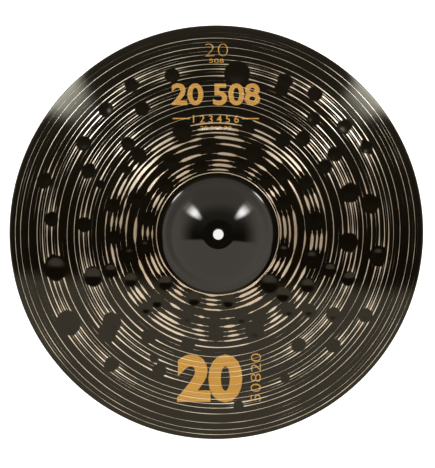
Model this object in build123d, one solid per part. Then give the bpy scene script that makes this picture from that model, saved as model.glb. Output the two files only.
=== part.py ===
from build123d import *
import math
import os

# Crash cymbal, in millimetres and degrees.
#
# The whole cymbal is one disc of bronze, a body of revolution about Z with the bell pointing up. Z = 0 is the
# surface that the rim stands on when the cymbal lies on a table.
#
# Its section is a chain of arcs, each tangent to the next, from the mounting hole outwards: a flat ring that
# the felts of a stand press on, the ring's soft corner, the gentle crown of the bell, its rounder shoulder, the
# hollow crease at its foot, and the long shallow bow. The sheet is thickest in the bell and tapers along the
# bow to a rounded rim.

# Across the disc
DIAMETER = 508.0  # over the rim, a 20 inch cymbal
HOLE_DIAMETER = 12.5  # clears a stand's rod and its sleeve
SEAT_RADIUS = 17.0  # outside of the flat ring round the hole
SEAT_CORNER_WIDTH = 2.5  # from the flat ring out to the crown
BELL_RADIUS = 70.5  # foot of the bell, where the bow starts
CREASE_WIDTH = 9.5  # from the steepest part of the bell out to its foot
SHOULDER_WIDTH = 11.0  # from the end of the crown out to the steepest part

# Slope of the upper surface below the horizontal, going outwards
SEAT_CORNER_SLOPE = 9.5  # where the corner of the flat ring meets the crown
CROWN_SLOPE = 20.0  # where the crown meets the shoulder
WALL_SLOPE = 45.0  # where the shoulder meets the crease, the steepest place
BOW_SLOPE = 2.5  # where the crease meets the bow
RIM_SLOPE = 11.5  # at the rim

# Thickness of the sheet, square to its surface
BELL_THICKNESS = 1.3
RIM_THICKNESS = 0.8


def outward(slope):
    """Direction along the surface, away from the hole, in the plane of the section."""
    return Vector(math.cos(math.radians(slope)), -math.sin(math.radians(slope)))


def upward(slope):
    """Direction square to the upper surface, out of the metal."""
    return Vector(math.sin(math.radians(slope)), math.cos(math.radians(slope)))


def arc_fall(run, slope_in, slope_out):
    """How far an arc drops over a horizontal run: its chord has the mean of its two end slopes."""
    return run * math.tan(math.radians((slope_in + slope_out) / 2))


def stations():
    """Where the arcs meet: points of the upper surface, with the slope and the thickness there."""
    wall_radius = BELL_RADIUS - CREASE_WIDTH
    crown_radius = wall_radius - SHOULDER_WIDTH
    # The round edge's centre lies half a thickness inside the rim, and the upper surface ends above it
    rim_radius = DIAMETER / 2 - RIM_THICKNESS / 2 + RIM_THICKNESS / 2 * upward(RIM_SLOPE).X
    steps = [
        (SEAT_RADIUS, 0.0, BELL_THICKNESS),
        (SEAT_RADIUS + SEAT_CORNER_WIDTH, SEAT_CORNER_SLOPE, BELL_THICKNESS),
        (crown_radius, CROWN_SLOPE, BELL_THICKNESS),
        (wall_radius, WALL_SLOPE, BELL_THICKNESS),
        (BELL_RADIUS, BOW_SLOPE, BELL_THICKNESS),
        (rim_radius, RIM_SLOPE, RIM_THICKNESS),
    ]
    height = 0.0
    found = [(Vector(SEAT_RADIUS, height), 0.0, BELL_THICKNESS)]
    for (radius_in, slope_in, _), (radius_out, slope_out, thickness) in zip(steps, steps[1:]):
        height -= arc_fall(radius_out - radius_in, slope_in, slope_out)
        found.append((Vector(radius_out, height), slope_out, thickness))
    # Raise the chain so that the lowest point of the round edge is at zero
    rim_point, rim_slope, rim_thickness = found[-1]
    rim_centre = rim_point - upward(rim_slope) * rim_thickness / 2
    lift = Vector(0, rim_thickness / 2 - rim_centre.Y)
    return [(point + lift, slope, thickness) for point, slope, thickness in found]


def section():
    """The closed section of the disc, from the hole's wall to the rounded rim."""
    chain = stations()
    tops = [point for point, _, _ in chain]
    unders = [point - upward(slope) * thickness for point, slope, thickness in chain]
    slopes = [slope for _, slope, _ in chain]
    hole_top = Vector(HOLE_DIAMETER / 2, tops[0].Y)
    hole_under = Vector(HOLE_DIAMETER / 2, unders[0].Y)
    rim_tip = (tops[-1] + unders[-1]) / 2 + outward(RIM_SLOPE) * RIM_THICKNESS / 2

    with BuildSketch(Plane.XZ) as sketch:
        with BuildLine():
            for points in (tops, unders):
                for start, end, slope in zip(points, points[1:], slopes):
                    TangentArc(start, end, tangent=outward(slope))
            ThreePointArc(tops[-1], rim_tip, unders[-1])
            Polyline(tops[0], hole_top, hole_under, unders[0])
        make_face()
    return sketch.sketch


def make_cymbal():
    """The disc: its section turned once round the axis of the hole."""
    disc = revolve(section(), axis=Axis.Z)
    disc.label = "cymbal"
    return disc


cymbal = make_cymbal()
os.makedirs("parts", exist_ok=True)
export_step(cymbal, "parts/cymbal.step")

seat_height = stations()[0][0].Y
foot_height = stations()[-2][0].Y
box = cymbal.bounding_box()
print(f"cymbal: {box.size.X:.2f} x {box.size.Y:.2f} x {box.size.Z:.3f} mm, lowest point {box.min.Z:.4f}")
print(f"seat at {seat_height:.3f} mm, foot of the bell at {foot_height:.3f} mm, volume {cymbal.volume:.0f} mm3")
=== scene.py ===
# %% [markdown]
# A crash cymbal is one disc of bronze, hammered, sprayed with a dark gloss lacquer and then turned on a
# lathe, which cuts pale lines through the lacquer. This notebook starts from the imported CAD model, which
# gives the true size and place, and builds the shape of the hammered sheet and its finish. All lengths are
# in metres, Z points up, and the mounting hole is on the Z axis.

# %% Load the frame
import math
import random

import bmesh
import bpy
from mathutils import Matrix, Vector, kdtree, noise
from mathutils.bvhtree import BVHTree


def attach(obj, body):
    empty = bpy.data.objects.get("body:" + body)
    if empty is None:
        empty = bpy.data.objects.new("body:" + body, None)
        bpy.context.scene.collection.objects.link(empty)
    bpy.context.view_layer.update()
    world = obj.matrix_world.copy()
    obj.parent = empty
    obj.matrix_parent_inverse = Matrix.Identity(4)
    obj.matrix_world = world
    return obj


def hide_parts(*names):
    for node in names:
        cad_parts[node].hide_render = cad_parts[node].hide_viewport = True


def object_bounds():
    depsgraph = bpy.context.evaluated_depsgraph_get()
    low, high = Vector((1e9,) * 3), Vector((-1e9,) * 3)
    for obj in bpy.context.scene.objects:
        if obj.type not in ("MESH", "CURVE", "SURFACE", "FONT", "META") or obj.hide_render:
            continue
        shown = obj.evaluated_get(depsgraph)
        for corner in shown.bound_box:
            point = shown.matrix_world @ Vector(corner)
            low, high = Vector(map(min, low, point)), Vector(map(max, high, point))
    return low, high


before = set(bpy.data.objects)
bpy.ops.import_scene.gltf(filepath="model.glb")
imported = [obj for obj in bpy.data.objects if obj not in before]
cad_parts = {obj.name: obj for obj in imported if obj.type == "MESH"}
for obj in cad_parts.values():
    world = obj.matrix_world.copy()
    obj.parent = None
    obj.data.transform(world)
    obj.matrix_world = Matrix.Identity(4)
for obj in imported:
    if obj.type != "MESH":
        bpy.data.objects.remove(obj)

cad_low, cad_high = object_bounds()
RIM_RADIUS = (cad_high.x - cad_low.x) / 2
HEIGHT = cad_high.z
MM = 0.001
print(f"cymbal: radius {RIM_RADIUS:.4f} m, height {HEIGHT:.4f} m")

# %% [markdown]
# The camera looks straight down at the cymbal, as a catalogue picture does, and leans by about three
# degrees, which slides the raised bell a little away from the middle of the rim. A long lens from far away
# keeps the outline round. The lens follows from how much floor the frame has to show.

# %% Camera
CAMERA_DISTANCE = 2.4
CAMERA_LEAN = Vector((-0.034, 0.039, 1.0)).normalized()
AIM = Vector((0.0005, -0.0011, 0.0))
FRAME_HEIGHT = 0.5742
SENSOR = 36.0

camera_data = bpy.data.cameras.new("camera")
camera_data.sensor_width = SENSOR
camera_data.lens = SENSOR * CAMERA_DISTANCE / FRAME_HEIGHT
camera = bpy.data.objects.new("camera", camera_data)
bpy.context.scene.collection.objects.link(camera)
right = Vector((0.0, 1.0, 0.0)).cross(CAMERA_LEAN).normalized()
upwards = CAMERA_LEAN.cross(right)
camera.rotation_euler = Matrix((right, upwards, CAMERA_LEAN)).transposed().to_euler()
camera.location = AIM + CAMERA_LEAN * CAMERA_DISTANCE
bpy.context.scene.camera = camera
bpy.context.scene.view_settings.view_transform = "Standard"
print(f"lens {camera_data.lens:.1f} mm at {CAMERA_DISTANCE} m")

# %% [markdown]
# Every finish below is a graph of shader nodes. Wiring nodes one by one is long-winded, so this small class
# gives each step a short name: a sum, a soft threshold, a blend of two colours. A named pair of numbers
# further on is such a threshold: where it begins and where it is complete.

# %% A short way to wire nodes
class Graph:
    """Adds nodes to one node tree. Values may be numbers, colours or another node's output."""

    def __init__(self, tree):
        self.tree = tree

    def node(self, kind, **settings):
        made = self.tree.nodes.new(kind)
        for name, value in settings.items():
            setattr(made, name, value)
        return made

    def join(self, value, socket):
        if isinstance(value, bpy.types.NodeSocket):
            self.tree.links.new(value, socket)
        else:
            socket.default_value = value

    def calc(self, operation, *values):
        made = self.node("ShaderNodeMath", operation=operation)
        for value, socket in zip(values, made.inputs):
            self.join(value, socket)
        return made.outputs[0]

    def plus(self, first, second):
        return self.calc("ADD", first, second)

    def minus(self, first, second):
        return self.calc("SUBTRACT", first, second)

    def times(self, first, second):
        return self.calc("MULTIPLY", first, second)

    def over(self, first, second):
        return self.calc("DIVIDE", first, second)

    def absolute(self, value):
        return self.calc("ABSOLUTE", value)

    def rise(self, value, low, high):
        """A smooth step: 0 at low, 1 at high. It falls instead when high is the smaller."""
        made = self.node("ShaderNodeMapRange", interpolation_type="SMOOTHSTEP")
        self.join(value, made.inputs["Value"])
        made.inputs["From Min"].default_value = min(low, high)
        made.inputs["From Max"].default_value = max(low, high)
        made.inputs["To Min"].default_value = float(high < low)
        made.inputs["To Max"].default_value = float(low < high)
        return made.outputs["Result"]

    def blend(self, share, first, second):
        made = self.node("ShaderNodeMix", data_type="RGBA")
        self.join(share, made.inputs[0])
        self.join(first, made.inputs[6])
        self.join(second, made.inputs[7])
        return made.outputs[2]

    def between(self, share, first, second):
        made = self.node("ShaderNodeMix", data_type="FLOAT")
        self.join(share, made.inputs[0])
        self.join(first, made.inputs[2])
        self.join(second, made.inputs[3])
        return made.outputs[0]

    def grain(self, vector, scale, detail=2.0, roughness=0.5):
        made = self.node("ShaderNodeTexNoise", noise_dimensions="3D")
        self.join(vector, made.inputs["Vector"])
        made.inputs["Scale"].default_value = scale
        made.inputs["Detail"].default_value = detail
        made.inputs["Roughness"].default_value = roughness
        return made.outputs["Fac"]

    def vector(self, x, y, z=0.0):
        made = self.node("ShaderNodeCombineXYZ")
        for value, socket in zip((x, y, z), made.inputs):
            self.join(value, socket)
        return made.outputs[0]

    def parts(self, vector):
        made = self.node("ShaderNodeSeparateXYZ")
        self.join(vector, made.inputs[0])
        return made.outputs


# %% [markdown]
# A glossy black surface shows the studio, not itself, so the studio is half of the finish. It is a white
# room with two tall strip lights, left and right beyond the top of the cymbal, and a black cloth hung round
# the camera, which reaches upwards and sideways from just below the lens and greys towards its top. All of
# it is painted on the sky by direction, which costs no render time and throws no stray shadows. The camera
# itself sees plain white. Tilt is the angle from straight up, in degrees, and east and north are the two
# level parts of the direction, from 0 straight up to 1 at the horizon.

# %% Room and cloth
ROOM = (1.25, 1.11, 0.95, 1.0)
END_WALL = (0.85, 0.77, 0.67, 1.0)
END_WALL_NORTH, END_WALL_ASIDE = (0.1, 0.5), (0.75, 0.45)
SIDE_WALLS, SIDE_SHARE = (2.2, 2.1, 1.9, 1.0), 0.1
SIDES_ASIDE = (0.35, 0.75)
SKIRTING = (0.84, 0.75, 0.64, 1.0)
SKIRTING_TILT = (58.0, 88.0)
CLOTH = (0.014, 0.011, 0.007, 1.0)
CLOTH_TOP = (0.200, 0.180, 0.140, 1.0)
CLOTH_TOP_NORTH = (-0.09, 0.33)
CLOTH_WIDTH, CLOTH_HEIGHT = 0.555, 0.475
CLOTH_EDGE = (1.45, 0.62)
HEM, HEM_BLUR, HEM_SLANT = -0.117, 0.02, 0.04


def squared(g, value, unit):
    return g.calc("POWER", g.over(g.absolute(value), unit), 2.0)


def paint_room(g, east, north, tilt):
    """White walls, brighter at the sides, dimmer beyond the top of the cymbal and near the floor, and the
    cloth in front of them."""
    aside = g.absolute(east)
    end_wall = g.times(g.rise(north, *END_WALL_NORTH), g.rise(aside, *END_WALL_ASIDE))
    room = g.blend(end_wall, ROOM, END_WALL)
    room = g.blend(g.times(g.rise(aside, *SIDES_ASIDE), SIDE_SHARE), room, SIDE_WALLS)
    room = g.blend(g.rise(tilt, *SKIRTING_TILT), room, SKIRTING)
    hem = g.rise(g.plus(north, g.times(east, HEM_SLANT)), HEM - HEM_BLUR, HEM + HEM_BLUR)
    spread = g.plus(squared(g, east, CLOTH_WIDTH), squared(g, north, CLOTH_HEIGHT))
    cloth = g.times(hem, g.rise(spread, *CLOTH_EDGE))
    return g.blend(cloth, room, g.blend(g.rise(north, *CLOTH_TOP_NORTH), CLOTH, CLOTH_TOP))


# %% [markdown]
# A strip light is a tall soft box. Its mirror image is bright in the middle and fades at both ends, and the
# wall under it catches a little of its light. The two strips mirror each other, so one formula paints both:
# the azimuth is the angle from sideways towards the top of the cymbal, whichever the side.

# %% Strip lights
STRIP_AZIMUTH = 42.2
STRIP_LIGHT, STRIP_TOP, STRIP_FOOT = 22.0, (24.0, 33.0), (42.5, 33.0)
SPILL_LIGHT, SPILL_TOP, SPILL_FOOT = 1.5, (36.0, 42.0), (62.0, 45.0)
STRIP_EDGE = (10.2, 2.5)
STRIP_WIDENING, NARROW_END = (22.0, 35.0), 0.6


def paint_strips(g, tilt, azimuth):
    """The strength of the two strips and of the light they spill on the wall."""
    strip = g.times(g.times(g.rise(tilt, *STRIP_TOP), g.rise(tilt, *STRIP_FOOT)), STRIP_LIGHT)
    spill = g.times(g.times(g.rise(tilt, *SPILL_TOP), g.rise(tilt, *SPILL_FOOT)), SPILL_LIGHT)
    # Each strip is narrower at its upper end
    width = g.between(g.rise(tilt, *STRIP_WIDENING), NARROW_END, 1.0)
    off_axis = g.over(g.absolute(g.minus(azimuth, STRIP_AZIMUTH)), width)
    return g.times(g.plus(strip, spill), g.rise(off_axis, *STRIP_EDGE))


# %% [markdown]
# The sky's shader adds the strips to the room, and shows both to everything but the camera. The renderer
# aims its light samples by a map of the sky. The map is fine enough for the strips, so that their mirror
# images come out clean.

# %% Sky
LAMP_COLOUR = (1.0, 0.98, 0.97, 1.0)
BACKDROP = (1.0, 1.0, 1.0, 1.0)
SKY_MAP = 1024


def directions(g):
    """East, north, tilt and azimuth of the direction that is being painted."""
    east, north, _ = g.parts(g.node("ShaderNodeTexCoord").outputs["Generated"])
    # The studio is centred on what a level mirror would show the leaning camera
    east = g.plus(east, CAMERA_LEAN.x)
    north = g.plus(north, CAMERA_LEAN.y)
    aside = g.absolute(east)
    away = g.calc("SQRT", g.plus(g.times(aside, aside), g.times(north, north)))
    tilt = g.calc("DEGREES", g.calc("ARCSINE", g.calc("MINIMUM", away, 1.0)))
    azimuth = g.calc("DEGREES", g.calc("ARCTAN2", north, aside))
    return east, north, tilt, azimuth


def background(g, colour, strength):
    made = g.node("ShaderNodeBackground")
    g.join(colour, made.inputs["Color"])
    g.join(strength, made.inputs["Strength"])
    return made.outputs[0]


def paint_sky():
    world = bpy.data.worlds.new("studio")
    world.use_nodes = True
    bpy.context.scene.world = world
    world.node_tree.nodes.clear()
    g = Graph(world.node_tree)
    east, north, tilt, azimuth = directions(g)
    studio = g.node("ShaderNodeAddShader")
    g.join(background(g, paint_room(g, east, north, tilt), 1.0), studio.inputs[0])
    g.join(background(g, LAMP_COLOUR, paint_strips(g, tilt, azimuth)), studio.inputs[1])
    choose = g.node("ShaderNodeMixShader")
    g.join(g.node("ShaderNodeLightPath").outputs["Is Camera Ray"], choose.inputs[0])
    g.join(studio.outputs[0], choose.inputs[1])
    g.join(background(g, BACKDROP, 1.0), choose.inputs[2])
    g.join(choose.outputs[0], g.node("ShaderNodeOutputWorld").inputs["Surface"])
    world.cycles.sampling_method = "MANUAL"
    world.cycles.sample_map_resolution = SKY_MAP


paint_sky()
print("studio: a room, a cloth and two strips, painted by direction")

# %% [markdown]
# The floor is a pale sheet that glows a little, so that it stays white through the mounting hole too, where
# hardly any light falls.

# %% Floor
FLOOR_SIZE = 40.0
FLOOR_GREY, FLOOR_ROUGHNESS = (0.6, 0.6, 0.6, 1.0), 0.9
FLOOR_GLOW = 0.88


def make_floor():
    bm = bmesh.new()
    bmesh.ops.create_grid(bm, x_segments=2, y_segments=2, size=FLOOR_SIZE / 2)
    mesh = bpy.data.meshes.new("floor")
    bm.to_mesh(mesh)
    bm.free()
    floor = bpy.data.objects.new("floor", mesh)
    bpy.context.scene.collection.objects.link(floor)
    material = bpy.data.materials.new("pale floor")
    material.use_nodes = True
    shader = material.node_tree.nodes["Principled BSDF"]
    shader.inputs["Base Color"].default_value = FLOOR_GREY
    shader.inputs["Roughness"].default_value = FLOOR_ROUGHNESS
    shader.inputs["Specular IOR Level"].default_value = 0.0
    shader.inputs["Emission Color"].default_value = (1.0, 1.0, 1.0, 1.0)
    shader.inputs["Emission Strength"].default_value = FLOOR_GLOW
    mesh.materials.append(material)
    return floor


make_floor()

# %% [markdown]
# The sheet's section is a chain of arcs: a flat ring for the felts, the crown and shoulder of the bell, the
# crease at its foot, and the long bow. Along a circular arc the sine of the slope changes evenly with the
# distance from the axis, so the height has an exact formula and the section needs no traced points. The
# same arcs, moved in by the thickness, are the underside, and a half circle joins the two at the rim.

# %% Section of the sheet
HOLE_RADIUS = 6.25 * MM
SEAT_RADIUS = 17.0 * MM
CORNER_RADIUS = 19.5 * MM
CROWN_RADIUS = 50.0 * MM
WALL_RADIUS = 61.0 * MM
BELL_RADIUS = 70.5 * MM
CORNER_SLOPE, CROWN_SLOPE, WALL_SLOPE = math.radians(9.5), math.radians(20.0), math.radians(45.0)
BOW_SLOPE, RIM_SLOPE = math.radians(2.5), math.radians(11.5)
BELL_THICKNESS = 1.3 * MM
RIM_THICKNESS = 0.8 * MM
RIM_END = RIM_RADIUS - RIM_THICKNESS / 2 * (1 - math.sin(RIM_SLOPE))
STATIONS = [
    (SEAT_RADIUS, 0.0),
    (CORNER_RADIUS, CORNER_SLOPE),
    (CROWN_RADIUS, CROWN_SLOPE),
    (WALL_RADIUS, WALL_SLOPE),
    (BELL_RADIUS, BOW_SLOPE),
    (RIM_END, RIM_SLOPE),
]


def surface(radius):
    """Height and slope of the smooth upper surface at a distance from the axis."""
    height = HEIGHT
    for (radius_in, slope_in), (radius_out, slope_out) in zip(STATIONS, STATIONS[1:]):
        if radius <= radius_in:
            return height, slope_in
        turn = (math.sin(slope_out) - math.sin(slope_in)) / (radius_out - radius_in)
        slope = math.asin(math.sin(slope_in) + turn * (min(radius, radius_out) - radius_in))
        height -= (math.cos(slope_in) - math.cos(slope)) / turn
    return height, slope


def thickness(radius):
    """The sheet is even in the bell and thins along the bow to the rim."""
    along_bow = max(0.0, (radius - BELL_RADIUS) / (RIM_END - BELL_RADIUS))
    return BELL_THICKNESS + (RIM_THICKNESS - BELL_THICKNESS) * along_bow


def steps(start, end, count):
    return [start + (end - start) * i / count for i in range(count)]


def section_points(counts):
    """Upper surface from the hole to the rim, with so many steps on each arc."""
    edges = [HOLE_RADIUS] + [radius for radius, _ in STATIONS]
    radii = [r for start, end, count in zip(edges, edges[1:], counts) for r in steps(start, end, count)]
    return radii + [RIM_END]


for place, radius in (("foot of the bell", BELL_RADIUS), ("end of the bow", RIM_END)):
    print(f"{place}: {surface(radius)[0] / MM:.2f} mm high")

# %% [markdown]
# Spinning the closed section once round the axis gives the sheet as one watertight shell. The underside
# needs fewer rings, because its light is softer. The two sharp corners of the punched hole get a small
# bevel.

# %% Spin the sheet
TURN_STEPS = 500
UPPER_RINGS = (5, 3, 10, 8, 10, 90)
UNDER_RINGS = (3, 2, 6, 6, 7, 36)
RIM_STEPS = 6
HOLE_BEVEL = 0.2 * MM
HAIR = 0.01 * MM


def section_outline():
    """The closed section in the XZ plane."""
    top, under = [], []
    for radius in section_points(UPPER_RINGS):
        height, _ = surface(radius)
        top.append(Vector((radius, 0.0, height)))
    for radius in section_points(UNDER_RINGS):
        height, slope = surface(radius)
        inward = Vector((math.sin(slope), 0.0, math.cos(slope))) * thickness(radius)
        under.append(Vector((radius, 0.0, height)) - inward)
    centre = (top[-1] + under[-1]) / 2
    spoke = top[-1] - centre
    rim = [centre + Matrix.Rotation(math.pi * i / RIM_STEPS, 3, "Y") @ spoke for i in range(1, RIM_STEPS)]
    return top + rim + under[::-1]


def spin_sheet():
    bm = bmesh.new()
    points = [bm.verts.new(p) for p in section_outline()]
    edges = [bm.edges.new((a, b)) for a, b in zip(points, points[1:] + points[:1])]
    bmesh.ops.spin(bm, geom=points + edges, axis=(0, 0, 1), cent=(0, 0, 0), angle=2 * math.pi,
                   steps=TURN_STEPS, use_merge=True)
    bmesh.ops.remove_doubles(bm, verts=bm.verts, dist=HAIR)
    bmesh.ops.recalc_face_normals(bm, faces=bm.faces)
    corners = [e for e in bm.edges if all(abs(v.co.xy.length - HOLE_RADIUS) < HAIR for v in e.verts)
               and abs(e.verts[0].co.z - e.verts[1].co.z) < HAIR]
    bmesh.ops.bevel(bm, geom=corners, offset=HOLE_BEVEL, affect="EDGES", segments=2, profile=0.5,
                    material=-1)
    return bm


sheet = spin_sheet()
print(f"sheet: {len(sheet.verts)} vertices, {len(sheet.faces)} faces")

# %% [markdown]
# The hammer leaves round hollows of four sizes, all over the bow and in no even order. Each entry below is
# one blow, placed as on a clock face: the angle clockwise from the top, the distance from the hole as a
# share of the cymbal's radius, and how hard it was struck, which gives the reach and the depth of its
# hollow. The list goes ring by ring, outwards.

# %% Hammer blows
SOFT, PLAIN = (5.5 * MM, 0.20 * MM), (8.5 * MM, 0.34 * MM)
HARD, HEAVY = (11.5 * MM, 0.46 * MM), (15.0 * MM, 0.60 * MM)
BLOWS = [
    (19, 0.350, PLAIN), (43, 0.343, PLAIN), (65, 0.349, PLAIN), (105, 0.327, PLAIN), (134, 0.343, HARD),
    (171, 0.327, PLAIN), (200, 0.333, PLAIN), (227, 0.343, PLAIN), (260, 0.354, PLAIN), (282, 0.338, PLAIN),
    (313, 0.338, PLAIN), (346, 0.327, PLAIN),
    (24, 0.418, HARD), (48, 0.418, PLAIN), (133, 0.429, PLAIN), (164, 0.420, PLAIN), (182, 0.429, PLAIN),
    (200, 0.424, PLAIN), (222, 0.435, PLAIN), (257, 0.435, PLAIN), (293, 0.413, PLAIN), (327, 0.408, PLAIN),
    (354, 0.418, PLAIN),
    (60, 0.494, PLAIN), (83, 0.472, HARD), (105, 0.467, HARD), (120, 0.499, PLAIN), (137, 0.504, PLAIN),
    (154, 0.456, PLAIN), (159, 0.499, HARD), (181, 0.480, PLAIN), (224, 0.494, PLAIN), (242, 0.472, PLAIN),
    (268, 0.500, PLAIN),
    (16, 0.540, PLAIN), (35, 0.547, PLAIN), (108, 0.569, PLAIN), (130, 0.574, PLAIN), (195, 0.553, PLAIN),
    (251, 0.542, PLAIN), (285, 0.520, PLAIN), (305, 0.531, SOFT), (315, 0.531, PLAIN), (341, 0.520, HARD),
    (42, 0.610, PLAIN), (58, 0.606, PLAIN), (94, 0.633, HARD), (214, 0.595, PLAIN), (251, 0.633, HARD),
    (274, 0.640, PLAIN), (293, 0.610, SOFT), (315, 0.606, PLAIN),
    (40, 0.720, PLAIN), (56, 0.676, PLAIN), (73, 0.665, HARD), (109, 0.671, PLAIN), (125, 0.681, PLAIN),
    (144, 0.665, PLAIN), (203, 0.714, PLAIN), (207, 0.676, SOFT), (228, 0.713, HARD), (230, 0.660, HARD),
    (296, 0.687, PLAIN), (329, 0.703, PLAIN),
    (7, 0.770, HEAVY), (24, 0.756, PLAIN), (24, 0.800, PLAIN), (50, 0.800, PLAIN), (79, 0.751, HARD),
    (98, 0.783, HARD), (134, 0.783, PLAIN), (155, 0.773, SOFT), (258, 0.794, HEAVY), (275, 0.800, PLAIN),
    (304, 0.772, PLAIN), (318, 0.800, PLAIN), (344, 0.789, PLAIN),
    (35, 0.820, PLAIN), (60, 0.826, PLAIN), (119, 0.821, PLAIN), (173, 0.832, SOFT), (219, 0.810, PLAIN),
    (239, 0.837, HEAVY), (287, 0.869, PLAIN), (330, 0.826, PLAIN),
]

# %% [markdown]
# A hammered sheet is never quite true, so it first gets a slow wave. Then each blow pushes its hollow into
# both faces, and a seeded random share varies its depth. The lathe's line will depend on the blows, so the
# mesh carries two numbers about them. The first, `near`, is 1 at the edge of the nearest blow, more inside
# it, and 0 at NEAR from it. The second, `lip`, tells how much the pushed-aside metal stands up: it is 1 at
# the blow and fades along the ring on which the blow lies.

# %% Hammer the sheet
SHEET_WAVE, WAVE_SIZE = 0.05 * MM, 45.0 * MM
WAVE_FROM_BELL, WAVE_FROM_RIM = 20.0 * MM, 12.0 * MM
DEPTH_SEED, DEPTH_SHARES = 20, (0.6, 1.15)
NEAR = 30.0 * MM
LIP_BREADTH, LIP_FADE = 1.2, 16.0 * MM


def on_clock(degrees, radius):
    """A point of the plan, from its angle clockwise from the top."""
    angle = math.radians(degrees)
    return Vector((math.sin(angle) * radius, math.cos(angle) * radius, 0.0))


def wave(bm):
    """The slow unevenness of a hammered sheet, which dies out at the bell and at the rim."""
    for vertex in bm.verts:
        radius = vertex.co.xy.length
        on_bow = min(1.0, max(0.0, (radius - BELL_RADIUS) / WAVE_FROM_BELL))
        near_rim = min(1.0, max(0.0, (RIM_RADIUS - radius) / WAVE_FROM_RIM))
        height = noise.noise(Vector((vertex.co.x, vertex.co.y, 0.0)) / WAVE_SIZE)
        vertex.co.z += height * SHEET_WAVE * on_bow * near_rim


def plan_tree(bm):
    """The vertices by their place in the plan, so that a blow finds those of both faces."""
    plan = kdtree.KDTree(len(bm.verts))
    for vertex in bm.verts:
        plan.insert((vertex.co.x, vertex.co.y, 0.0), vertex.index)
    plan.balance()
    return plan


def hammer(bm):
    """Pushes the blows into the sheet and writes `near` and `lip` on its vertices."""
    near = bm.verts.layers.float.new("near")
    lip = bm.verts.layers.float.new("lip")
    bm.verts.ensure_lookup_table()
    plan = plan_tree(bm)
    rng = random.Random(DEPTH_SEED)
    for degrees, share, (reach, depth) in BLOWS:
        depth *= rng.uniform(*DEPTH_SHARES)
        centre = on_clock(degrees, share * RIM_RADIUS)
        for place, index, distance in plan.find_range(centre, reach + NEAR):
            vertex = bm.verts[index]
            vertex.co.z -= depth * max(0.0, 1.0 - (distance / reach) ** 2) ** 2
            vertex[near] = max(vertex[near], 1.0 - (distance - reach) / NEAR)
            across = abs(place.xy.length - centre.xy.length)
            along = math.sqrt(max(0.0, distance ** 2 - across ** 2))
            beside = max(0.0, 1.0 - (across / (LIP_BREADTH * reach)) ** 2)
            vertex[lip] = max(vertex[lip], beside * math.exp(-max(0.0, along - reach) / LIP_FADE))


wave(sheet)
hammer(sheet)
print(f"{len(BLOWS)} blows")

# %% [markdown]
# The finish is unrolled onto a flat map: once round the cymbal is the map's width, and the way from the
# hole over the rim and back underneath is its height. The lathe's lines run straight across such a map, so
# a picture of the finish laid on it keeps them crisp.

# %% Unroll the map and make the object
MAP_MARGIN = 0.004
UPPER_SHARE = 0.7


def unroll(bm):
    layer = bm.loops.layers.uv.new("OFBake")
    span = 1.0 - 2.0 * MAP_MARGIN
    for face in bm.faces:
        middle = face.calc_center_median()
        upper = face.normal.z > 0.0
        middle_turn = math.atan2(middle.x, middle.y) / (2 * math.pi) + 0.5
        for loop in face.loops:
            place = loop.vert.co
            turn = math.atan2(place.x, place.y) / (2 * math.pi) + 0.5
            # The faces at the seam stay whole, a little past the end of the map
            turn += round(middle_turn - turn)
            out = place.xy.length / RIM_RADIUS
            height = out * UPPER_SHARE if upper else 1.0 - out * (1.0 - UPPER_SHARE)
            loop[layer].uv = (MAP_MARGIN + turn * span, MAP_MARGIN + height * span)


def make_piece(name, bm):
    """A smooth-shaded object from a finished bmesh, riding on the cymbal's one body."""
    mesh = bpy.data.meshes.new(name)
    bm.to_mesh(mesh)
    bm.free()
    mesh.polygons.foreach_set("use_smooth", [True] * len(mesh.polygons))
    piece = bpy.data.objects.new(name, mesh)
    bpy.context.scene.collection.objects.link(piece)
    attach(piece, "root")
    return piece


sheet.normal_update()
unroll(sheet)
skin = BVHTree.FromBMesh(sheet)
cymbal = make_piece("hammered_cymbal", sheet)
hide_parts("cymbal")

# %% [markdown]
# The lathe's tool travels inwards while the cymbal turns, so its cut is one long spiral. It travels
# unevenly: the turns crowd together along the rings of hammer blows and stand apart between them. Counting
# turns from the rim gives every point of the surface a number, and the cut runs where that number is whole.
# A painted picture of the lines would blur close up, and a formula stays crisp.

# %% Count the turns of the lathe
PITCH = 7.57 * MM
CROWDING, CROWD_PERIOD, FIRST_CROWD = 0.35, 42.2 * MM, 45.5 * MM
FIRST_TURN = 0.406


def spiral(g, radius, turn):
    """Distances in millimetres from the nearest turn of the cut and from half way between two turns, and
    the way along the cut in turns."""
    depth = g.minus(RIM_RADIUS, radius)
    phase = g.times(g.minus(depth, FIRST_CROWD), 2 * math.pi / CROWD_PERIOD)
    count = g.plus(g.over(depth, PITCH), g.times(g.calc("SINE", phase), CROWDING))
    density = g.times(g.calc("COSINE", phase), CROWDING * 2 * math.pi / CROWD_PERIOD)
    spacing = g.over(1 / MM, g.plus(density, 1 / PITCH))
    count = g.minus(g.minus(count, turn), FIRST_TURN - 0.5)
    away = g.absolute(g.minus(g.calc("FRACT", count), 0.5))
    to_middle = g.minus(0.5, away)
    along = g.plus(g.calc("FLOOR", count), turn)
    return g.times(away, spacing), g.times(to_middle, spacing), along


# %% [markdown]
# The tool only skims the lacquer, so the width of its line tells how the surface under it rises and falls.
# What a point of the bow needs to know for that is gathered here once: its place along the cut, the blows
# near it, and two sorts of chance. The first, `own`, changes along the cut, as the tool's pressure might,
# and the second, `uneven`, over the sheet, as its height might.

# %% What a point of the bow knows
INNER_ZONE = (0.58, 0.48)
OWN_RATE, OWN_SEED = 9.0, 3.1
UNEVEN_SCALE = 26.0
LATHE_TILT = 0.014


def chance(g, along, rate, seed):
    """Noise round zero that changes so many times in each turn of the cut."""
    return g.minus(g.grain(g.vector(g.times(along, rate), seed), 1.0, 2.0), 0.5)


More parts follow.
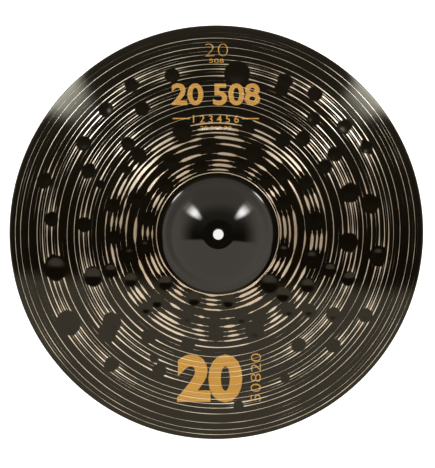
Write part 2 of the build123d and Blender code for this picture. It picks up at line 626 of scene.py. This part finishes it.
class Spot:
    """One point of the bow. `clear` is its distance in millimetres from the edge of the nearest blow, and
    `inner` is 1 near the bell and 0 further out."""

    def __init__(self, g):
        x, y, _ = g.parts(g.node("ShaderNodeTexCoord").outputs["Object"])
        self.radius = g.calc("SQRT", g.plus(g.times(x, x), g.times(y, y)))
        self.outward = g.over(self.radius, RIM_RADIUS)
        self.inner = g.rise(self.outward, *INNER_ZONE)
        # The disc sat a little askew on the lathe, which shifts where the first turn of the cut begins
        self.lathe_radius = g.plus(self.radius, g.times(y, LATHE_TILT))
        turn = g.calc("FRACT", g.plus(g.over(g.calc("ARCTAN2", x, y), 2 * math.pi), 1.0))
        self.away, self.to_middle, self.along = spiral(g, self.radius, turn)
        near = g.node("ShaderNodeAttribute", attribute_name="near").outputs["Fac"]
        self.clear = g.times(g.minus(1.0, near), NEAR / MM)
        self.lip = g.node("ShaderNodeAttribute", attribute_name="lip").outputs["Fac"]
        self.own = chance(g, self.along, OWN_RATE, OWN_SEED)
        self.uneven = g.minus(g.grain(g.vector(x, y), UNEVEN_SCALE, 1.0), 0.5)


# %% [markdown]
# The line is thin, and it swells where the metal stands up beside a blow. Near the bell the cut becomes a
# row of wide dashes between the blows. Widths are in millimetres, from the middle of the line to its edge.

# %% Width of the cut
THIN, OWN_SWING, UNEVEN_SWING = 0.20, 0.8, 0.5
INNER_THINNING = 0.06
LIP_SWELL, INNER_LIP_SWELL = 0.75, 0.10
WIDE = 1.45
BITE_START, BITE_BY_CLEAR, BITE_BY_OWN, BITE_BY_UNEVEN = -0.8, 0.17, 2.8, 2.5
OTHER_TURN, LESSER_BITE = (0.22, 0.28), 0.55
OUTER_ZONE, OUTER_SHARE = (0.86, 0.95), 0.9


def wide_bite(g, spot):
    """Near the bell every turn bites wide where it is clear of the blows, and every other turn more so."""
    other = g.absolute(g.minus(g.calc("FRACT", g.times(spot.along, 0.5)), 0.5))
    share = g.times(spot.inner, g.between(g.rise(other, *OTHER_TURN), LESSER_BITE, 1.0))
    bite = g.plus(g.times(spot.clear, BITE_BY_CLEAR), BITE_START)
    bite = g.plus(bite, g.times(spot.own, BITE_BY_OWN))
    bite = g.plus(bite, g.times(spot.uneven, BITE_BY_UNEVEN))
    bite = g.calc("SQRT", g.calc("MAXIMUM", g.calc("MINIMUM", bite, 1.0), 0.0))
    return g.times(share, g.times(bite, WIDE))


def half_width(g, spot):
    half = g.plus(THIN, g.plus(g.times(spot.own, OWN_SWING), g.times(spot.uneven, UNEVEN_SWING)))
    half = g.minus(half, g.times(spot.inner, INNER_THINNING))
    half = g.plus(half, g.times(spot.lip, g.between(spot.inner, LIP_SWELL, INNER_LIP_SWELL)))
    half = g.plus(half, wide_bite(g, spot))
    return g.times(half, g.between(g.rise(spot.outward, *OUTER_ZONE), 1.0, OUTER_SHARE))


# %% [markdown]
# The tool also chatters, which leaves a second, finer and more broken line half way between the turns. Both
# lines stop where a blow has pressed the sheet down, out of the tool's reach, and both stay off the edge of
# the rim and the foot of the bell, where one even ring ends the work. A wide cut leaves the lacquer beside
# it so thin that it looks brown.

# %% Lathe lines
CUT_EDGE = (-0.08, 0.10)
CHATTER_RATE, CHATTER_SEED = 14.0, 8.7
CHATTER_START, CHATTER_SWING, CHATTER_BY_LIP = 0.1, 1.6, 0.35
CHATTER_WIDEST, CHATTER_INNER_LOSS = 0.3, 0.35
MISS_EDGE, MISS_BY_OWN = (0.0, 1.5), 9.0
UNCUT_RIM = 6.3 * MM
FIRST_RING, RING_HALF_WIDTH = 74.6 * MM, 0.5
END_BLUR = 1 * MM
WEAR_BY_WIDTH, WEAR_REACH, WEAR_CLEAR = (0.28, 0.75), (2.2, 0.2), (0.0, 3.0)


def chatter_line(g, spot):
    """The finer line half way between the turns."""
    chatter = chance(g, spot.along, CHATTER_RATE, CHATTER_SEED)
    fine = g.times(g.minus(chatter, CHATTER_START), CHATTER_SWING)
    fine = g.calc("MINIMUM", g.plus(fine, g.times(spot.lip, CHATTER_BY_LIP)), CHATTER_WIDEST)
    fine = g.minus(fine, g.times(spot.inner, CHATTER_INNER_LOSS))
    return g.rise(g.minus(fine, spot.to_middle), *CUT_EDGE)


def lathe_lines(g, spot):
    """How far a point is cut through to bare bronze, and how far a wide cut beside it has worn the lacquer,
    both from 0 to 1."""
    half = half_width(g, spot)
    cut = g.calc("MAXIMUM", g.rise(g.minus(half, spot.away), *CUT_EDGE), chatter_line(g, spot))
    cut = g.times(cut, g.rise(g.plus(spot.clear, g.times(spot.own, MISS_BY_OWN)), *MISS_EDGE))
    off_bell = g.rise(spot.radius, FIRST_RING, FIRST_RING + END_BLUR)
    off_rim = g.rise(spot.lathe_radius, RIM_RADIUS - UNCUT_RIM + END_BLUR, RIM_RADIUS - UNCUT_RIM)
    cut = g.times(cut, g.times(off_bell, off_rim))
    from_ring = g.over(g.absolute(g.minus(spot.radius, FIRST_RING)), MM)
    cut = g.calc("MAXIMUM", cut, g.rise(g.minus(RING_HALF_WIDTH, from_ring), *CUT_EDGE))
    worn = g.times(g.rise(half, *WEAR_BY_WIDTH), g.rise(g.minus(spot.away, half), *WEAR_REACH))
    worn = g.times(worn, g.times(g.rise(spot.clear, *WEAR_CLEAR), off_bell))
    return cut, worn


# %% [markdown]
# The bell is never turned, so its lacquer is smooth and glossy, with the faint orange peel of sprayed
# paint. A little noise varies its colour and its gloss, and a finer one makes the peel as a bump, which is
# far too shallow to model.

# %% Lacquer of the bell
LACQUER = (0.0022, 0.0019, 0.0014, 1.0)
LACQUER_PALE = (0.0034, 0.0029, 0.0022, 1.0)
LACQUER_PATCHES = 160.0
BELL_GLOSS, GLOSS_SWING, GLOSS_PATCHES = 0.05, 0.02, 60.0
PEEL_SCALE, PEEL_DEPTH, PEEL_STRENGTH = 420.0, 0.01 * MM, 0.3
LACQUER_IOR = 1.5


def bump(g, height, depth, strength, shader):
    made = g.node("ShaderNodeBump")
    made.inputs["Strength"].default_value = strength
    made.inputs["Distance"].default_value = depth
    g.join(height, made.inputs["Height"])
    g.join(made.outputs["Normal"], shader.inputs["Normal"])


def plain_lacquer():
    material = bpy.data.materials.new("plain lacquer")
    material.use_nodes = True
    g = Graph(material.node_tree)
    shader = material.node_tree.nodes["Principled BSDF"]
    place = g.node("ShaderNodeTexCoord").outputs["Object"]
    colour = g.blend(g.grain(place, LACQUER_PATCHES), LACQUER, LACQUER_PALE)
    g.join(colour, shader.inputs["Base Color"])
    gloss = g.plus(BELL_GLOSS, g.times(g.grain(place, GLOSS_PATCHES), GLOSS_SWING))
    g.join(gloss, shader.inputs["Roughness"])
    bump(g, g.grain(place, PEEL_SCALE), PEEL_DEPTH, PEEL_STRENGTH, shader)
    shader.inputs["IOR"].default_value = LACQUER_IOR
    return material


# %% [markdown]
# Bare bronze is pale, a little more golden near the bell, and streaky from the tool's point. The streaks
# are a fine noise that is stretched more than a hundred times along the cut.

# %% Bare bronze
BRONZE_PALE = (0.97, 0.95, 0.86, 1.0)
BRONZE_GOLD = (0.97, 0.86, 0.70, 1.0)
BRONZE_DULL = (0.60, 0.51, 0.40, 1.0)
PALE_OUTWARD, DULL_STREAKS = (0.30, 0.62), (0.72, 0.22)
STREAKS_ALONG, STREAKS_ACROSS = 14.0, 2600.0
STREAK_DETAIL, STREAK_CONTRAST = 3.0, 0.6
BRUSHED = 0.27


def bronze_colour(g, spot):
    """The colour of the cut, and its streaks from 0 to 1."""
    place = g.vector(g.times(spot.along, STREAKS_ALONG), g.times(spot.radius, STREAKS_ACROSS))
    streaks = g.grain(place, 1.0, STREAK_DETAIL, STREAK_CONTRAST)
    bronze = g.blend(g.rise(spot.outward, *PALE_OUTWARD), BRONZE_GOLD, BRONZE_PALE)
    return g.blend(g.rise(streaks, *DULL_STREAKS), bronze, BRONZE_DULL), streaks


# %% [markdown]
# On the bow, lacquer and bare bronze share one shader. The share that is cut through decides between black
# gloss over no metal and brushed metal, which the streaks roughen. Each cut is a shallow groove, and its
# brush marks run round the axis, so it stretches a highlight across them. The tool's light touch also dulls
# and warms the lacquer between the lines a little, so there it mirrors less than on the bell.

# %% Turned lacquer of the bow
FILM = (0.0045, 0.0028, 0.0010, 1.0)
FILM_STREAKS = (0.35, 0.65)
WORN_FILM = (0.0200, 0.0092, 0.0028, 1.0)
BOW_GLOSS = 0.07
BOW_MIRROR, BOW_TINT = 0.33, (1.0, 1.0, 0.83, 1.0)
BRUSH_SWING = 0.12
BRUSH_PULL, BRUSH_TURN = 0.8, 0.25
GROOVE_DEPTH, GROOVE_STRENGTH = 0.03 * MM, 0.4
STREAK_DEPTH = 0.5


def groove(g, cut, streaks, shader):
    """Sinks the cut and its brush marks into the surface."""
    height = g.minus(g.times(streaks, g.times(cut, STREAK_DEPTH)), cut)
    bump(g, height, GROOVE_DEPTH, GROOVE_STRENGTH, shader)
    shader.inputs["Anisotropic"].default_value = BRUSH_PULL
    shader.inputs["Anisotropic Rotation"].default_value = BRUSH_TURN
    tangent = g.node("ShaderNodeTangent", direction_type="RADIAL", axis="Z")
    g.join(tangent.outputs[0], shader.inputs["Tangent"])


def turned_lacquer():
    material = bpy.data.materials.new("turned lacquer")
    material.use_nodes = True
    g = Graph(material.node_tree)
    shader = material.node_tree.nodes["Principled BSDF"]
    spot = Spot(g)
    cut, worn = lathe_lines(g, spot)
    bronze, streaks = bronze_colour(g, spot)
    lacquer = g.blend(g.rise(streaks, *FILM_STREAKS), LACQUER, FILM)
    lacquer = g.blend(worn, lacquer, WORN_FILM)
    g.join(g.blend(cut, lacquer, bronze), shader.inputs["Base Color"])
    g.join(cut, shader.inputs["Metallic"])
    brushed = g.plus(BRUSHED, g.times(streaks, BRUSH_SWING))
    g.join(g.between(cut, BOW_GLOSS, brushed), shader.inputs["Roughness"])
    shader.inputs["IOR"].default_value = LACQUER_IOR
    shader.inputs["Specular IOR Level"].default_value = BOW_MIRROR
    shader.inputs["Specular Tint"].default_value = BOW_TINT
    groove(g, cut, streaks, shader)
    return material


def finish(piece):
    """The plain lacquer covers the bell and the turned one the bow, on both faces of the sheet."""
    piece.data.materials.append(plain_lacquer())
    piece.data.materials.append(turned_lacquer())
    for face in piece.data.polygons:
        face.material_index = int(face.center.xy.length > BELL_RADIUS)


finish(cymbal)
print("faces of the bow:", sum(face.material_index for face in cymbal.data.polygons))

# %% [markdown]
# Plain numerals in gold ink give the size, 20 inches or 508 millimetres, above and below the bell. They are
# a thin piece of their own, because its edges stay sharper than those of a print on the sheet's map. Each
# is set flat on the plan first, in a box of its own, and two rules flank the second row. An entry gives the
# text, its box's width and height, the middle of the box, the weight of its strokes and its turn in degrees.

# %% Set the numerals
NUMERALS = [
    ("20 508", 108 * MM, 27 * MM, (-2 * MM, 169.5 * MM), 0.030, 0),
    ("1 2 3 4 5 6", 56 * MM, 9.5 * MM, (-2 * MM, 139.5 * MM), 0.010, 0),
    ("20 508 20", 38 * MM, 4.5 * MM, (-2 * MM, 128.5 * MM), 0.010, 0),
    ("20", 28 * MM, 16 * MM, (-1 * MM, 223.5 * MM), -0.028, 0),
    ("508", 18 * MM, 5 * MM, (-1 * MM, 210.5 * MM), 0.0, 0),
    ("20", 80 * MM, 60 * MM, (-9.5 * MM, -177.5 * MM), 0.050, 0),
    ("50820", 60 * MM, 12.5 * MM, (47 * MM, -176.5 * MM), -0.012, 90),
]
RULES = [(-44 * MM, 140 * MM), (40 * MM, 140 * MM)]
RULE_LENGTH, RULE_WIDTH = 21 * MM, 1.6 * MM
STROKE_STEPS = 4


def set_text(text, weight):
    """The text as a flat mesh."""
    curve = bpy.data.curves.new("numerals", "FONT")
    curve.body = text
    curve.offset = weight
    curve.resolution_u = STROKE_STEPS
    holder = bpy.data.objects.new("numerals", curve)
    mesh = bpy.data.meshes.new_from_object(holder)
    bpy.data.objects.remove(holder)
    return mesh


def fit_text(mesh, width, height, middle, turn):
    """Stretches the flat mesh to its box, turns it and moves it to its place."""
    xs = [v.co.x for v in mesh.vertices]
    ys = [v.co.y for v in mesh.vertices]
    centre = Vector(((min(xs) + max(xs)) / 2, (min(ys) + max(ys)) / 2, 0.0))
    stretch = Matrix.Diagonal((width / (max(xs) - min(xs)), height / (max(ys) - min(ys)), 1.0, 1.0))
    turned = Matrix.Rotation(math.radians(turn), 4, "Z")
    mesh.transform(Matrix.Translation((*middle, 0.0)) @ turned @ stretch @ Matrix.Translation(-centre))


def set_print():
    flat = bmesh.new()
    for text, width, height, middle, weight, turn in NUMERALS:
        mesh = set_text(text, weight)
        fit_text(mesh, width, height, middle, turn)
        flat.from_mesh(mesh)
        bpy.data.meshes.remove(mesh)
    for x, y in RULES:
        place = Matrix.Translation((x, y, 0.0)) @ Matrix.Diagonal((RULE_LENGTH, RULE_WIDTH, 1.0, 1.0))
        bmesh.ops.create_grid(flat, x_segments=1, y_segments=1, size=0.5, matrix=place)
    return flat


ink = set_print()
print(f"flat print: {len(ink.faces)} faces")

# %% [markdown]
# The flat print is sliced into a fine grid, so that it can follow the sheet, and laid on the hammered
# surface point by point. It gets a thickness of a tenth of a millimetre, half of it sunk into the lacquer.

# %% Lay the print on the sheet
SLICE = 3 * MM
SLICE_SNAP = 0.001 * MM
INK = 0.05 * MM
ABOVE = 1.0


def slice_up(bm):
    """Cuts the flat print along both axes, every SLICE."""
    for axis in (Vector((1, 0, 0)), Vector((0, 1, 0))):
        places = [v.co.dot(axis) for v in bm.verts]
        at = math.floor(min(places) / SLICE) * SLICE
        while at < max(places):
            geometry = bm.verts[:] + bm.edges[:] + bm.faces[:]
            bmesh.ops.bisect_plane(bm, geom=geometry, plane_co=axis * at, plane_no=axis, dist=SLICE_SNAP)
            at += SLICE


def lay_down(bm, skin):
    """Gives the print its thickness and drops it on the skin of the sheet."""
    slice_up(bm)
    raised = bmesh.ops.extrude_face_region(bm, geom=bm.faces[:])["geom"]
    upper = {v for v in raised if isinstance(v, bmesh.types.BMVert)}
    for vertex in bm.verts:
        above = Vector((vertex.co.x, vertex.co.y, ABOVE))
        hit, _, _, _ = skin.ray_cast(above, Vector((0.0, 0.0, -1.0)))
        vertex.co.z = hit.z + (INK if vertex in upper else -INK)
    bmesh.ops.recalc_face_normals(bm, faces=bm.faces)


lay_down(ink, skin)
print(f"print: {len(ink.verts)} vertices, {len(ink.faces)} faces")
numerals = make_piece("size_numerals", ink)

# %% [markdown]
# The ink went on before the lathe's last pass, so the cut runs through it as well. Its finish reads the
# same spiral from the same place, and the cut carries on from the lacquer into the ink.

# %% Gold ink
INK_GOLD = (0.56, 0.32, 0.05, 1.0)
INK_SHADE = (0.38, 0.19, 0.03, 1.0)
INK_STREAKS = (0.3, 0.7)
INK_METAL, INK_ROUGHNESS = 0.25, 0.5


def gold_ink():
    material = bpy.data.materials.new("gold ink")
    material.use_nodes = True
    g = Graph(material.node_tree)
    shader = material.node_tree.nodes["Principled BSDF"]
    spot = Spot(g)
    cut, _ = lathe_lines(g, spot)
    bronze, streaks = bronze_colour(g, spot)
    gold = g.blend(g.rise(streaks, *INK_STREAKS), INK_SHADE, INK_GOLD)
    g.join(g.blend(cut, gold, bronze), shader.inputs["Base Color"])
    g.join(g.between(cut, INK_METAL, 1.0), shader.inputs["Metallic"])
    g.join(g.between(cut, INK_ROUGHNESS, BRUSHED), shader.inputs["Roughness"])
    shader.inputs["IOR"].default_value = LACQUER_IOR
    return material


numerals.data.materials.append(gold_ink())
